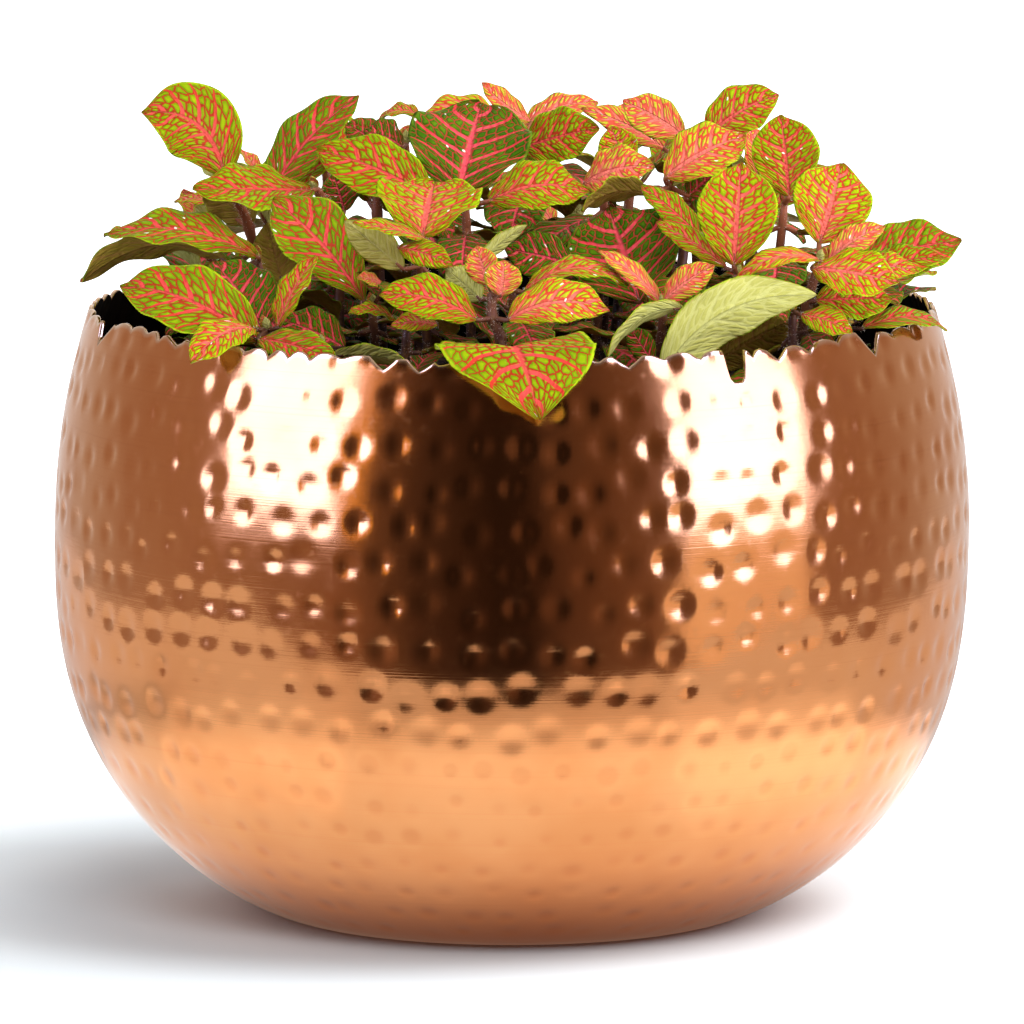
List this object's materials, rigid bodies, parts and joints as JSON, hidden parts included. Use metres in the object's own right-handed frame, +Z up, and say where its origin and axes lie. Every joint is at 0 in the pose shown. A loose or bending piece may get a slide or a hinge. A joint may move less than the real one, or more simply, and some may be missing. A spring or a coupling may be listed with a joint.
{
  "type": "potted plant",
  "caption": "Round-bellied hammered metal bowl with a scalloped, notched rim, filled with soil and leafy shoots with net-veined leaves.",
  "frame": {"origin": "middle of the bowl's flat base, on the floor", "axes": "+Z up along the bowl's axis, -Y towards the side the plant is looked at from, +X to its right"},
  "size_m": [0.2398, 0.2424, 0.2176],
  "materials": {
    "copper": "polished, hammered",
    "earth": "rough, crumbly",
    "foliage": "satin leaf"
  },
  "bodies": {
    "root": {"copper_bowl": "copper", "soil": "earth", "leafy_stem_01": "foliage", "leafy_stem_02": "foliage", "leafy_stem_03": "foliage", "leafy_stem_04": "foliage", "leafy_stem_05": "foliage", "leafy_stem_06": "foliage", "leafy_stem_07": "foliage", "leafy_stem_08": "foliage", "leafy_stem_09": "foliage", "leafy_stem_10": "foliage", "leafy_stem_11": "foliage", "leafy_stem_12": "foliage", "leafy_stem_13": "foliage", "leafy_stem_14": "foliage", "leafy_stem_15": "foliage", "leafy_stem_16": "foliage", "leafy_stem_17": "foliage", "leafy_stem_18": "foliage", "leafy_stem_19": "foliage", "leafy_stem_20": "foliage", "leafy_stem_21": "foliage", "leafy_stem_22": "foliage", "leafy_stem_23": "foliage", "leafy_stem_24": "foliage", "leafy_stem_25": "foliage", "leafy_stem_26": "foliage", "leafy_stem_27": "foliage", "leafy_stem_28": "foliage", "leafy_stem_29": "foliage", "leafy_stem_30": "foliage", "leafy_stem_31": "foliage", "leafy_stem_32": "foliage", "leafy_stem_33": "foliage", "leafy_stem_34": "foliage", "leafy_stem_35": "foliage", "leafy_stem_36": "foliage", "leafy_stem_37": "foliage"}
  },
  "joints": []
}
